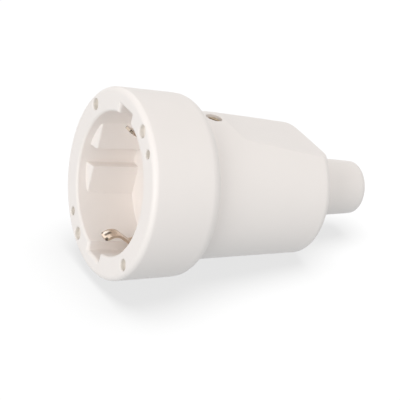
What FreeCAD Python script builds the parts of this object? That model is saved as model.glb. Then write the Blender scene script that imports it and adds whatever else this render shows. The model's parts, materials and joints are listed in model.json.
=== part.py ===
import FreeCAD, Part
import math
import os

from FreeCAD import Vector

os.makedirs("parts", exist_ok=True)

# Inline earthed socket for a round two-pin plug, with side earth clips and a rear grip that
# ends in a cord spout. It lies on a table with its flat panel up. Sizes are millimetres.
# Each piece is built about the socket's own axis: X runs from the front face to the spout,
# Y is the line of the two pins and Z points to the upper earth clip. At the end all pieces
# are tilted together onto the plane on which the socket rests.

# Head
head_length = 22.4
head_front_r = 26.6
head_rear_r = 25.1
head_front_round = 1.0
head_rear_round = 4.2

# Plug recess in the head
recess_r = 19.75
recess_depth = 17.5
recess_mouth_round = 0.8
floor_thickness = 4.0
pad_distance = 16.7
pad_gap = 5.2
pad_front = 2.4
pad_lead = 0.8
pad_round = 0.8
notch_side_gap = 1.6
notch_room = 3.6

# Pin holes
pin_spacing = 19.0
pin_hole_r = 2.65
pin_hole_lead = 0.7

# Blind holes in the front ring, each with its twin half a turn round
ring_hole_circle_r = 23.5
ring_hole_depth = 1.8
ring_hole_lead = 0.3
ring_holes = {
    "diagonal": (47.4, 1.6),
    "paired": (-28.4, 1.75),
    "small": (-45.4, 1.2),
}

# Grip and cord spout
grip_length = 37.8
grip_root_r = 20.85
grip_end_r = 18.55
grip_end_round = 2.5
grip_wall = 2.4
spout_length = 18.6
spout_wall = 3.05
spout_taper = 1.25
spout_end_round = 2.2
cord_bore_r = 4.3
cord_mouth_lead = 0.4

# Flat panel on top of the grip and flat on which the grip rests
panel_setback = 8.2
panel_end_height = 14.3
panel_slope_deg = 8.1
panel_arc_r = 14.0
panel_wall = 2.0
rest_flat_height = 17.0
rest_flat_wall = 2.0

# Spigot behind the head, which the grip slides over
spigot_clearance = 0.15
spigot_wall = 2.0
spigot_past_screw = 2.8
spigot_lead = 0.5
spigot_end_gap = 0.4

# Screws that hold the grip on the spigot, and their square nuts
housing_seat_wall = 1.2
housing_head_r = 1.9
housing_head_height = 1.2
housing_sink_r = 2.3
housing_shank_r = 1.25
housing_screw_past_nut = 0.4
housing_slot_turn_deg = 130.0
nut_width = 5.0
nut_thickness = 2.0
nut_cover = 2.25
nut_boss_wall = 1.4
nut_boss_gap = 1.3

# Earth strap with a spring clip at each end
strap_thickness = 0.8
strap_width = 4.2
strap_end_gap = 0.45
strap_bend = 1.4
clip_knee_x = 10.9
clip_knee_height = 18.0
clip_hump_x = 5.4
clip_hump_height = 14.55
clip_hump_bend = 3.2
clip_tip_x = 2.1
clip_tip_height = 16.4
clip_tip_round = 1.2
earth_post_size = 6.0
earth_post_length = 19.7
earth_rivet_r = 1.5

# Contact sleeves
sleeve_length = 14.5
sleeve_r = 3.6
sleeve_bore_r = 2.45
sleeve_bore_length = 15.4
sleeve_collar_r = 4.8
sleeve_collar = 1.4
sleeve_slit = 0.7
sleeve_slit_length = 11.5
barrel_r = 4.1
barrel_length = 8.4
barrel_lead = 0.5
wire_hole_r = 1.6
wire_hole_length = 7.0
contact_spring_r = 4.05
contact_spring_setback = 3.7
contact_spring_length = 3.0
contact_spring_gap = 3.0

# Clamp screws of the three terminals
terminal_screw_from_end = 3.6
terminal_shank_r = 1.25
terminal_head_r = 2.0
terminal_head_height = 1.2
terminal_screw_gap = 0.6
terminal_tip_height = 0.4

# Insulating carrier behind the recess floor, with a tongue for the cord clamp
carrier_clearance = 0.2
carrier_side_wall = 1.25
carrier_half_height = 9.5
carrier_length = 13.9
carrier_screw_y = 5.6
carrier_screw_z = 6.4
carrier_base = 4.5
carrier_screw_grip = 2.6
carrier_head_r = 2.1
carrier_head_height = 1.5
carrier_shank_r = 1.2
tongue_end_gap = 1.4
tongue_half_width = 11.0
tongue_top = -5.2
cord_saddle_r = 6.2

# Cord clamp on the tongue
clamp_from_end = 4.4
clamp_post_y = 8.2
clamp_post_r = 2.6
clamp_post_top = 2.0
clamp_bar_width = 6.0
clamp_bar_thickness = 2.6
clamp_ridge = 1.2
clamp_screw_length = 9.0
clamp_shank_r = 1.2
clamp_head_r = 2.1
clamp_head_height = 1.4

# Small gaps and slots that several pieces share
fit_gap = 0.1
thread_gap = 0.02
screw_slot_width = 0.6
screw_slot_depth = 0.6
beyond = 120.0

# Sizes that follow from those above
floor_rear = recess_depth + floor_thickness
grip_end = head_length + grip_length
spout_end = grip_end + spout_length
spout_end_r = cord_bore_r + spout_wall
spout_root_r = spout_end_r + spout_taper
panel_front = head_length + panel_setback
pin_y = pin_spacing / 2
carrier_r = pin_y + barrel_r + carrier_clearance + carrier_side_wall
spigot_inner_r = carrier_r + carrier_clearance
spigot_r = spigot_inner_r + spigot_wall
grip_bore_r = spigot_r + spigot_clearance
strap_rear = floor_rear + strap_thickness
nut_boss_half = nut_width / 2 + fit_gap + nut_boss_wall
housing_screw_x = strap_rear + nut_boss_gap + nut_boss_half
housing_seat_height = grip_bore_r + housing_seat_wall
spigot_end = housing_screw_x + spigot_past_screw
nut_top_height = spigot_r - nut_cover
nut_bottom_height = nut_top_height - nut_thickness
strap_arm_height = spigot_inner_r - strap_end_gap - strap_thickness / 2
barrel_start = floor_rear + sleeve_length
barrel_end = barrel_start + barrel_length
contact_spring_x = floor_rear + contact_spring_setback
carrier_end = floor_rear + carrier_length
carrier_screw_seat = floor_rear + carrier_base
tongue_end = grip_end - grip_wall - tongue_end_gap
clamp_x = tongue_end - clamp_from_end
clamp_bar_top = clamp_post_top + clamp_bar_thickness
panel_tan = math.tan(math.radians(panel_slope_deg))
head_taper = (head_front_r - head_rear_r) / head_length
axis = Vector(1, 0, 0)
up = Vector(0, 0, 1)
sides = (1, -1)


def rest_tilt():
    """Angle between the axis and the plane under the head's rear rounding and the grip's flat."""
    round_x = head_length - head_rear_round
    round_z = head_rear_r + head_taper * head_rear_round
    round_z -= head_rear_round * math.hypot(1, head_taper)
    run = grip_end - round_x
    rise = round_z - rest_flat_height
    return math.atan2(rise, run) + math.asin(head_rear_round / math.hypot(run, rise))


rest_tan = math.tan(rest_tilt())


def panel_height(x):
    """Height of the top panel over the axis."""
    return panel_end_height + (grip_end - x) * panel_tan


def rest_depth(x):
    """Depth of the rest plane under the axis."""
    return rest_flat_height + (grip_end - x) * rest_tan


def rounded_wire(corners):
    """Closed wire in the XZ plane through corners of (x, z, rounding)."""
    points = [Vector(x, 0, z) for x, z, rounding in corners]
    starts = []
    ends = []
    arcs = []
    for i, (x, z, rounding) in enumerate(corners):
        here = points[i]
        back = (points[i - 1] - here).normalize()
        ahead = (points[(i + 1) % len(points)] - here).normalize()
        half = back.getAngle(ahead) / 2
        reach = rounding / math.tan(half)
        starts.append(here + back * reach)
        ends.append(here + ahead * reach)
        if rounding:
            bisector = (back + ahead).normalize()
            middle = here + bisector * (rounding / math.sin(half) - rounding)
            arcs.append(Part.Arc(starts[i], middle, ends[i]).toShape())
    edges = list(arcs)
    for i, end in enumerate(ends):
        start = starts[(i + 1) % len(starts)]
        if end.distanceToPoint(start) > 1e-6:
            edges.append(Part.LineSegment(end, start).toShape())
    return Part.Wire(Part.__sortEdges__(edges))


def turned(corners):
    """Solid of revolution about the axis from an outline of (x, radius, rounding)."""
    return Part.Face(rounded_wire(corners)).revolve(Vector(), axis, 360)


def pressed(corners, width):
    """Outline in the XZ plane made a solid of the given width across the axis."""
    face = Part.Face(rounded_wire(corners))
    face.translate(Vector(0, -width / 2, 0))
    return face.extrude(Vector(0, width, 0))


def block(x0, x1, y0, y1, z0, z1):
    """Box between two corners."""
    return Part.makeBox(x1 - x0, y1 - y0, z1 - z0, Vector(x0, y0, z0))


def rod(radius, x0, x1, y=0, z=0):
    """Round bar along the axis."""
    return Part.makeCylinder(radius, x1 - x0, Vector(x0, y, z), axis)


def pillar(radius, z0, z1, x, y=0):
    """Round bar along Z."""
    return Part.makeCylinder(radius, z1 - z0, Vector(x, y, z0), up)


def half_turn(shape):
    """The same shape half a turn round the axis."""
    turned_copy = shape.copy()
    turned_copy.rotate(Vector(), axis, 180)
    return turned_copy


def with_twin(shapes):
    """Shapes together with their twins half a turn round the axis."""
    return shapes + [half_turn(shape) for shape in shapes]


def one_solid(shape):
    """The single clean solid of a boolean result."""
    return shape.removeSplitter().Solids[0]


def slotted_screw(head_r, head_height, shank_r, length, seat, outwards, slot_turn_deg=0):
    """Cheese head screw with its head's underside at seat and its head pointing outwards."""
    screw = Part.makeCylinder(head_r, head_height)
    screw = screw.fuse(Part.makeCylinder(shank_r, length, Vector(0, 0, -length)))
    slot_floor = head_height - screw_slot_depth
    half_slot = screw_slot_width / 2
    slot = block(-head_r, head_r, -half_slot, half_slot, slot_floor, head_height + screw_slot_depth)
    slot.rotate(Vector(), up, slot_turn_deg)
    screw = one_solid(screw.cut(slot))
    screw.Placement = FreeCAD.Placement(seat, FreeCAD.Rotation(up, outwards))
    return screw


def guide_pad(side, half):
    """One of the flat pads at the sides of the recess, sunk into its wall and floor."""
    outer = recess_r + fit_gap
    rear = recess_depth + fit_gap
    height = recess_r - pad_gap / 2
    pad = pressed([
        (pad_front, outer, 0),
        (pad_front + pad_lead, pad_distance, pad_round),
        (rear, pad_distance, 0),
        (rear, outer, 0),
    ], height)
    pad.rotate(Vector(), axis, -90 * side)
    pad.translate(up * (half * (pad_gap + height) / 2))
    return pad.common(rod(outer, 0, head_length))


def clip_cuts():
    """Notch for the upper earth clip and the slot for it in the recess floor."""
    half = strap_width / 2 + notch_side_gap
    reach = clip_knee_height + strap_thickness / 2 + notch_room
    notch = block(-fit_gap, recess_depth, -half, half, strap_arm_height, reach)
    lean = (clip_knee_height - strap_arm_height) / (floor_rear - clip_knee_x)
    slot_half = strap_width / 2 + carrier_clearance
    slot_low = strap_arm_height - strap_thickness / 2 - strap_bend
    slot_high = strap_arm_height + lean * floor_thickness + strap_thickness
    slot = block(recess_depth - fit_gap, floor_rear, -slot_half, slot_half, slot_low, slot_high)
    return [notch, slot]


def pin_cuts(side):
    """Pin hole with its countersink on the recess floor."""
    y = side * pin_y
    hole = rod(pin_hole_r, recess_depth - fit_gap, floor_rear + fit_gap, y)
    wide = pin_hole_r + pin_hole_lead
    lead = Part.makeCone(wide, pin_hole_r, pin_hole_lead, Vector(recess_depth, y, 0), axis)
    return [hole, lead]


def ring_hole_cuts():
    """Blind holes in the front ring, counted anticlockwise from the upper clip seen face-on."""
    cuts = []
    for angle_deg, radius in ring_holes.values():
        angle = math.radians(angle_deg)
        y = ring_hole_circle_r * math.sin(angle)
        z = ring_hole_circle_r * math.cos(angle)
        cuts.append(rod(radius, -fit_gap, ring_hole_depth, y, z))
        wide = radius + ring_hole_lead
        cuts.append(Part.makeCone(wide, radius, ring_hole_lead, Vector(0, y, z), axis))
    return cuts


def nut_boss():
    """Thickening inside the spigot that holds the upper nut."""
    half = nut_boss_half
    front = housing_screw_x - half
    low = nut_bottom_height - fit_gap - nut_boss_wall
    boss = block(front, spigot_end, -half, half, low, spigot_r)
    return boss.common(rod(spigot_inner_r + spigot_wall / 2, front, spigot_end))


def nut_cuts():
    """Rear-entry pocket for the upper nut and the hole for its screw."""
    half = nut_width / 2 + fit_gap
    low = nut_bottom_height - fit_gap
    high = nut_top_height + fit_gap
    pocket = block(housing_screw_x - half, spigot_end + fit_gap, -half, half, low, high)
    hole = pillar(housing_shank_r + fit_gap, low - nut_boss_wall, spigot_r, housing_screw_x)
    return [pocket, hole]


def carrier_pilot(side):
    """Blind hole in the back of the recess floor for a carrier screw."""
    front = floor_rear - carrier_screw_grip - fit_gap
    radius = carrier_shank_r + thread_gap
    return rod(radius, front, floor_rear, side * carrier_screw_y, carrier_screw_z)


def socket_head():
    """Front moulding with the plug recess and the spigot for the grip."""
    head = turned([
        (recess_depth, 0, 0),
        (recess_depth, recess_r, 0),
        (0, recess_r, recess_mouth_round),
        (0, head_front_r, head_front_round),
        (head_length, head_rear_r, head_rear_round),
        (head_length, spigot_r, 0),
        (spigot_end - spigot_lead, spigot_r, 0),
        (spigot_end, spigot_r - spigot_lead, 0),
        (spigot_end, spigot_inner_r, 0),
        (floor_rear, spigot_inner_r, 0),
        (floor_rear, 0, 0),
    ])
    pads = [guide_pad(side, half) for side in sides for half in sides]
    head = head.fuse(pads + with_twin([nut_boss()]))
    cuts = with_twin(clip_cuts() + ring_hole_cuts() + nut_cuts())
    for side in sides:
        cuts += pin_cuts(side)
        cuts.append(carrier_pilot(side))
    return one_solid(head.cut(cuts))


def panel_cut():
    """Material above the top panel, behind its arc-shaped front edge."""
    start = panel_front - panel_arc_r
    wedge = pressed([
        (start, panel_height(start), 0),
        (beyond, panel_height(beyond), 0),
        (beyond, beyond, 0),
        (start, beyond, 0),
    ], 2 * beyond)
    arc_centre = panel_front + panel_arc_r
    plan = pillar(panel_arc_r, 0, beyond, arc_centre)
    plan = plan.fuse(block(arc_centre, beyond, -panel_arc_r, panel_arc_r, 0, beyond))
    return wedge.common(plan)


def rest_cut():
    """Material under the rest plane."""
    return pressed([
        (0, -rest_depth(0), 0),
        (beyond, -rest_depth(beyond), 0),
        (beyond, -beyond, 0),
        (0, -beyond, 0),
    ], 2 * beyond)


def grip_space():
    """Room inside the grip: the bore for the spigot, then a tapered space with flats."""
    start = spigot_end + spigot_end_gap
    end = grip_end - grip_wall
    taper = turned([
        (start, 0, 0),
        (start, grip_bore_r, 0),
        (end, grip_end_r - grip_wall, 0),
        (end, 0, 0),
    ])
    roof = panel_wall / math.cos(math.radians(panel_slope_deg))
    ground = rest_flat_wall / math.cos(rest_tilt())
    between = pressed([
        (start, panel_height(start) - roof, 0),
        (end, panel_height(end) - roof, 0),
        (end, ground - rest_depth(end), 0),
        (start, ground - rest_depth(start), 0),
    ], 2 * beyond)
    return rod(grip_bore_r, head_length, start).fuse(taper.common(between))


def housing_cuts():
    """Sunk seat and clearance hole for the upper housing screw."""
    sink = pillar(housing_sink_r, housing_seat_height, beyond, housing_screw_x)
    hole = pillar(housing_shank_r + fit_gap, spigot_inner_r, beyond, housing_screw_x)
    return [sink, hole]


def rear_grip():
    """Hollow grip with its top panel, rest flat and cord spout."""
    grip = turned([
        (head_length, cord_bore_r, 0),
        (head_length, grip_root_r, 0),
        (grip_end, grip_end_r, grip_end_round),
        (grip_end, spout_root_r, 0),
        (spout_end, spout_end_r, spout_end_round),
        (spout_end, cord_bore_r + cord_mouth_lead, 0),
        (spout_end - cord_mouth_lead, cord_bore_r, 0),
    ])
    cuts = [grip_space(), panel_cut(), rest_cut()] + with_twin(housing_cuts())
    return one_solid(grip.cut(cuts))


def housing_screw():
    """Upper screw between grip and spigot."""
    seat = Vector(housing_screw_x, 0, housing_seat_height)
    length = housing_seat_height - nut_bottom_height + housing_screw_past_nut
    return slotted_screw(
        housing_head_r, housing_head_height, housing_shank_r, length, seat, up, housing_slot_turn_deg
    )


def housing_nut():
    """Square nut in the upper pocket of the spigot."""
    half = nut_width / 2
    front = housing_screw_x - half
    nut = block(front, front + nut_width, -half, half, nut_bottom_height, nut_top_height)
    return nut.cut(pillar(housing_shank_r + thread_gap, 0, beyond, housing_screw_x))


def strip_corners(path, thickness):
    """Outline of a bent strip along a centreline of (x, z, bend radius)."""
    points = [Vector(x, 0, z) for x, z, bend in path]
    runs = [(after - before).normalize() for before, after in zip(points, points[1:])]
    left = []
    right = []
    for i, (x, z, bend) in enumerate(path):
        run_in = runs[max(i - 1, 0)]
        run_out = runs[min(i, len(runs) - 1)]
        normal_in = Vector(-run_in.z, 0, run_in.x)
        normal_out = Vector(-run_out.z, 0, run_out.x)
        mitre = (normal_in + normal_out) * (thickness / 2 / (1 + normal_in.dot(normal_out)))
        turn = math.copysign(thickness / 2, normal_in.dot(run_out)) if bend else 0
        left.append((x + mitre.x, z + mitre.z, bend - turn))
        right.append((x - mitre.x, z - mitre.z, bend + turn))
    return left + right[::-1]


def earth_strap():
    """Spring strap behind the recess floor whose two ends are the earth clips."""
    upper = [
        (clip_tip_x, clip_tip_height, 0),
        (clip_hump_x, clip_hump_height, clip_hump_bend),
        (clip_knee_x, clip_knee_height, strap_bend),
        (floor_rear + strap_thickness / 2, strap_arm_height, strap_bend),
    ]
    lower = [(x, -z, bend) for x, z, bend in reversed(upper)]
    strap = pressed(strip_corners(upper + lower, strap_thickness), strap_width)
    short = [edge for edge in strap.Edges if abs(edge.Length - strap_thickness) < thread_gap]
    strap = strap.makeFillet(clip_tip_round, [edge for edge in short if edge.CenterOfMass.x < clip_hump_x])
    return one_solid(strap.cut(rod(earth_rivet_r + thread_gap, 0, strap_rear)))


def terminal_cuts(end, surface):
    """Wire hole from behind and threaded hole from above in a terminal on the axis."""
    wire = rod(wire_hole_r, end - wire_hole_length, end)
    thread = pillar(terminal_shank_r + thread_gap, 0, surface, end - terminal_screw_from_end)
    return [wire, thread]


def terminal_screw(end, surface):
    """Clamp screw of a terminal on the axis, with its tip in the wire hole."""
    seat_height = surface + terminal_screw_gap
    seat = Vector(end - terminal_screw_from_end, 0, seat_height)
    length = seat_height - terminal_tip_height
    return slotted_screw(terminal_head_r, terminal_head_height, terminal_shank_r, length, seat, up)


def earth_terminal():
    """Square post riveted on the middle of the earth strap."""
    half = earth_post_size / 2
    end = strap_rear + earth_post_length
    post = block(strap_rear, end, -half, half, -half, half)
    post = post.fuse(rod(earth_rivet_r, floor_rear, strap_rear))
    return one_solid(post.cut(terminal_cuts(end, half)))


def earth_terminal_screw():
    """Clamp screw of the earth terminal."""
    return terminal_screw(strap_rear + earth_post_length, earth_post_size / 2)


def contact():
    """Slit contact sleeve with its terminal barrel, on the axis."""
    bore_end = floor_rear + sleeve_bore_length
    collar_end = floor_rear + sleeve_collar
    sleeve = turned([
        (floor_rear, sleeve_bore_r, 0),
        (floor_rear, sleeve_collar_r, 0),
        (collar_end, sleeve_collar_r, 0),
        (collar_end, sleeve_r, 0),
        (barrel_start, sleeve_r, 0),
        (barrel_start, barrel_r, 0),
        (barrel_end - barrel_lead, barrel_r, 0),
        (barrel_end, barrel_r - barrel_lead, 0),
        (barrel_end, 0, 0),
        (bore_end, 0, 0),
        (bore_end, sleeve_bore_r, 0),
    ])
    half_slit = sleeve_slit / 2
    slit_end = floor_rear + sleeve_slit_length
    slit = block(0, slit_end, -half_slit, half_slit, -barrel_r * 2, barrel_r * 2)
    return one_solid(sleeve.cut([slit] + terminal_cuts(barrel_end, barrel_r)))


def contact_spring():
    """Open steel ring that closes the slit sleeve, on the axis."""
    end = contact_spring_x + contact_spring_length
    inner_r = sleeve_r + thread_gap
    ring = turned([
        (contact_spring_x, inner_r, 0),
        (contact_spring_x, contact_spring_r, 0),
        (end, contact_spring_r, 0),
        (end, inner_r, 0),
    ])
    half = contact_spring_gap / 2
    return ring.cut(block(contact_spring_x, end, -half, half, 0, contact_spring_r))


def beside(shape, side):
    """A piece built on the axis, moved to a pin line."""
    moved = shape.copy()
    moved.translate(Vector(0, side * pin_y, 0))
    return moved


def carrier_cuts():
    """Pockets, strap channel, terminal window and screw holes of the carrier."""
    channel_half = strap_width / 2 + carrier_clearance
    window_half = earth_post_size / 2 + carrier_clearance
    cuts = [
        block(floor_rear, strap_rear, -channel_half, channel_half, -beyond, beyond),
        block(floor_rear, carrier_end, -window_half, window_half, -window_half, window_half),
    ]
    collar_end = floor_rear + sleeve_collar
    head_room_r = carrier_head_r + carrier_clearance
    for side in sides:
        y = side * carrier_screw_y
        cuts.append(rod(barrel_r + carrier_clearance, floor_rear, carrier_end, side * pin_y))
        cuts.append(rod(sleeve_collar_r + carrier_clearance, floor_rear, collar_end, side * pin_y))
        cuts.append(rod(carrier_shank_r + fit_gap, floor_rear, carrier_end, y, carrier_screw_z))
        cuts.append(rod(head_room_r, carrier_screw_seat, carrier_end, y, carrier_screw_z))
    return cuts


def clamp_posts():
    """Posts on the tongue that carry the cord clamp."""
    bottom = tongue_top - clamp_post_r
    ys = [side * clamp_post_y for side in sides]
    return [pillar(clamp_post_r, bottom, clamp_post_top, clamp_x, y) for y in ys]


def clamp_pilots():
    """Holes in the posts for the clamp screws."""
    bottom = clamp_bar_top - clamp_screw_length
    radius = clamp_shank_r + thread_gap
    return [pillar(radius, bottom, clamp_post_top, clamp_x, side * clamp_post_y) for side in sides]


def contact_carrier():
    """Insulating block that holds the contacts and the strap, with a tongue for the cord."""
    body = rod(carrier_r, floor_rear, carrier_end)
    low = -carrier_half_height
    body = body.common(block(0, beyond, -beyond, beyond, low, carrier_half_height))
    body = body.cut(carrier_cuts())
    half = tongue_half_width
    tongue = block(carrier_screw_seat, tongue_end, -half, half, low, tongue_top)
    tongue = tongue.cut(rod(cord_saddle_r, carrier_end, beyond))
    carrier = body.fuse([tongue] + clamp_posts())
    return one_solid(carrier.cut(clamp_pilots()))


def carrier_screw(side):
    """Screw that holds the carrier to the back of the recess floor."""
    seat = Vector(carrier_screw_seat, side * carrier_screw_y, carrier_screw_z)
    length = carrier_base + carrier_screw_grip
    return slotted_screw(carrier_head_r, carrier_head_height, carrier_shank_r, length, seat, axis)


def cord_clamp_bar():
    """Bar over the cord with a ridge underneath."""
    half = clamp_bar_width / 2
    front = clamp_x - half
    low = clamp_post_top
    bar = block(front, front + clamp_bar_width, -clamp_post_y, clamp_post_y, low, clamp_bar_top)
    inner = clamp_post_y - clamp_post_r - clamp_ridge
    front = clamp_x - clamp_ridge / 2
    ridge = block(front, front + clamp_ridge, -inner, inner, low - clamp_ridge, clamp_bar_top)
    ys = [side * clamp_post_y for side in sides]
    ends = [pillar(half, low, clamp_bar_top, clamp_x, y) for y in ys]
    holes = [pillar(clamp_shank_r + fit_gap, 0, beyond, clamp_x, y) for y in ys]
    return one_solid(bar.fuse([ridge] + ends).cut(holes))


def cord_clamp_screw(side):
    """Screw of the cord clamp."""
    seat = Vector(clamp_x, side * clamp_post_y, clamp_bar_top)
    return slotted_screw(clamp_head_r, clamp_head_height, clamp_shank_r, clamp_screw_length, seat, up)


def all_pieces():
    """Every piece by its name, still about the socket's own axis."""
    barrel_screw = terminal_screw(barrel_end, barrel_r)
    return {
        "socket_head": socket_head(),
        "rear_grip": rear_grip(),
        "upper_housing_screw": housing_screw(),
        "lower_housing_screw": half_turn(housing_screw()),
        "upper_housing_nut": housing_nut(),
        "lower_housing_nut": half_turn(housing_nut()),
        "earth_strap": earth_strap(),
        "earth_terminal": earth_terminal(),
        "earth_terminal_screw": earth_terminal_screw(),
        "left_contact": beside(contact(), 1),
        "right_contact": beside(contact(), -1),
        "left_contact_spring": beside(contact_spring(), 1),
        "right_contact_spring": beside(contact_spring(), -1),
        "left_terminal_screw": beside(barrel_screw, 1),
        "right_terminal_screw": beside(barrel_screw, -1),
        "contact_carrier": contact_carrier(),
        "left_carrier_screw": carrier_screw(1),
        "right_carrier_screw": carrier_screw(-1),
        "cord_clamp_bar": cord_clamp_bar(),
        "left_cord_clamp_screw": cord_clamp_screw(1),
        "right_cord_clamp_screw": cord_clamp_screw(-1),
    }


def lay_down(pieces):
    """Tilt the pieces onto the rest plane, with the middle of the whole over the origin."""
    for shape in pieces.values():
        shape.rotate(Vector(), Vector(0, 1, 0), math.degrees(rest_tilt()))
    shells = Part.makeCompound([pieces["socket_head"], pieces["rear_grip"]])
    bounds = shells.optimalBoundingBox(False, False)
    ground = -rest_depth(0) * math.cos(rest_tilt())
    shift = Vector(-bounds.Center.x, -bounds.Center.y, -ground)
    for shape in pieces.values():
        shape.translate(shift)


pieces = all_pieces()
lay_down(pieces)
for name, shape in pieces.items():
    shape.exportStep("parts/" + name + ".step")
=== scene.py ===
import json
import math

import bmesh
import bpy
from bpy.props import FloatProperty, FloatVectorProperty, IntProperty, PointerProperty
from mathutils import Matrix, Quaternion, Vector


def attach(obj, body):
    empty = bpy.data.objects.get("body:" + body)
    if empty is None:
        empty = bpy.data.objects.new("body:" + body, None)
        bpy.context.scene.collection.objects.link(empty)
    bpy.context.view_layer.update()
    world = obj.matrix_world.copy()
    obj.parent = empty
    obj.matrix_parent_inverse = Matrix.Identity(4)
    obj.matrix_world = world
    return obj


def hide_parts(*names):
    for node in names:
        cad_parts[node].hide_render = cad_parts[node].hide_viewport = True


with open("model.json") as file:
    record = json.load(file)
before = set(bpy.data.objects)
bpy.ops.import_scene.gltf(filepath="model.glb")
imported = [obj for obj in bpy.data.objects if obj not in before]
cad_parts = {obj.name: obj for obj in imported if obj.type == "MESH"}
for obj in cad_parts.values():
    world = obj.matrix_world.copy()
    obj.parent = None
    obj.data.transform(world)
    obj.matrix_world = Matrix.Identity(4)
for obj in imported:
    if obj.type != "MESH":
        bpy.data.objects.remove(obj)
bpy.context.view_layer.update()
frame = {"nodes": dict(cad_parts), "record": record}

bl_info = {
    "name": "Inline Socket",
    "version": (1, 0, 0),
    "blender": (4, 5, 0),
    "location": "View3D > Sidebar > Socket",
    "description": "Dresses the solids of an inline earthed socket and sets up its studio",
    "category": "Object",
}

AXIS_X = Vector((1, 0, 0))
AXIS_Y = Vector((0, 1, 0))
AXIS_Z = Vector((0, 0, 1))
SIDES = (1, -1)


def mount(name):
    """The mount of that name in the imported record."""
    return next(entry for entry in frame["record"]["mounts"] if entry["name"] == name)


def socket_place():
    """Matrix from the socket's own axis, with X from its face to its spout, to the row's frame."""
    recess = mount("plug_recess")
    along = -Vector(recess["axis"]).normalized()
    upwards = along.cross(AXIS_Y)
    turn = Matrix((along, AXIS_Y, upwards)).transposed()
    return Matrix.Translation(recess["pos_m"]) @ turn.to_4x4()


PLACE = socket_place()


def length(name, default, description):
    """Length in metres that a user can change."""
    kind = {"unit": "LENGTH", "subtype": "DISTANCE"}
    return FloatProperty(name=name, description=description, default=default, min=0, precision=5, **kind)


def angle(name, default_deg, description):
    """Angle that a user can change."""
    turn = math.radians(default_deg)
    return FloatProperty(name=name, description=description, default=turn, unit="ROTATION", subtype="ANGLE")


def share(name, default, description):
    """Number from 0 to 1 that a user can change."""
    kind = {"min": 0, "max": 1, "subtype": "FACTOR"}
    return FloatProperty(name=name, description=description, default=default, **kind)


def colour(name, default, description):
    """Colour that a user can change."""
    kind = {"min": 0, "max": 1, "size": 3, "subtype": "COLOR"}
    return FloatVectorProperty(name=name, description=description, default=default, **kind)


def watts(name, default, description):
    """Lamp's power that a user can change."""
    return FloatProperty(name=name, description=description, default=default, min=0, unit="POWER")


class HeadSizes(bpy.types.PropertyGroup):
    """Sizes of the socket head and its plug recess."""

    body_length: length("Length", 0.0224, "From the front face to the shoulder")
    front_r: length("Front radius", 0.02658, "Radius at the front face before rounding")
    rear_r: length("Rear radius", 0.02509, "Radius at the shoulder before rounding")
    front_round: length("Front rounding", 0.0016, "Rounding of the front edge")
    rear_round: length("Rear rounding", 0.0042, "Rounding of the shoulder")
    recess_r: length("Recess radius", 0.01975, "Radius of the plug recess")
    recess_depth: length("Recess depth", 0.0175, "Depth of the plug recess")
    mouth_round: length("Mouth rounding", 0.0008, "Rounding of the recess mouth")
    floor_round: length("Floor rounding", 0.0003, "Rounding round the recess floor")
    floor_thickness: length("Floor", 0.004, "Thickness of the recess floor")
    pad_distance: length("Pad distance", 0.0167, "From the axis to the side pads")
    pad_gap: length("Pad gap", 0.0052, "Groove between the two pads of a side")
    pad_front: length("Pad setback", 0.0024, "From the front face to the pads")
    pad_lead: length("Pad lead", 0.0008, "Slope of the pads' front ends")
    pad_round: length("Pad rounding", 0.0006, "Rounding of the pads' front edges")
    groove_round: length("Groove rounding", 0.0003, "Rounding of the edges at the groove")
    notch_width: length("Notch width", 0.0074, "Width of the notch for an earth clip")
    notch_reach: length("Notch reach", 0.022, "From the axis to the bottom of the notch")
    notch_round: length("Notch rounding", 0.0005, "Rounding of the notch's bottom corners")
    notch_flare: length("Notch flare", 0.0011, "Rounding of the notch's edges in the front face")
    slot_width: length("Slot width", 0.0046, "Width of the floor slot for an earth clip")
    slot_low: length("Slot low", 0.0126, "From the axis to the near end of the slot")
    slot_high: length("Slot high", 0.01656, "From the axis to the far end of the slot")
    pin_spacing: length("Pin spacing", 0.019, "Between the two pin holes")
    pin_hole_r: length("Pin hole radius", 0.00265, "Radius of a pin hole")
    pin_hole_lead: length("Pin hole lead", 0.0007, "Countersink of a pin hole")
    hole_circle_r: length("Hole circle", 0.0235, "Radius on which the blind holes lie")
    hole_depth: length("Hole depth", 0.0018, "Depth of the blind holes")
    hole_round: length("Hole rounding", 0.0005, "Rounding of a blind hole's edge")
    spigot_r: length("Spigot radius", 0.01725, "Outer radius of the spigot in the grip")
    spigot_inner_r: length("Spigot bore", 0.01525, "Inner radius of the spigot")
    spigot_end: length("Spigot end", 0.0304, "From the front face to the end of the spigot")
    spigot_lead: length("Spigot lead", 0.0005, "Chamfer on the end of the spigot")


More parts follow.
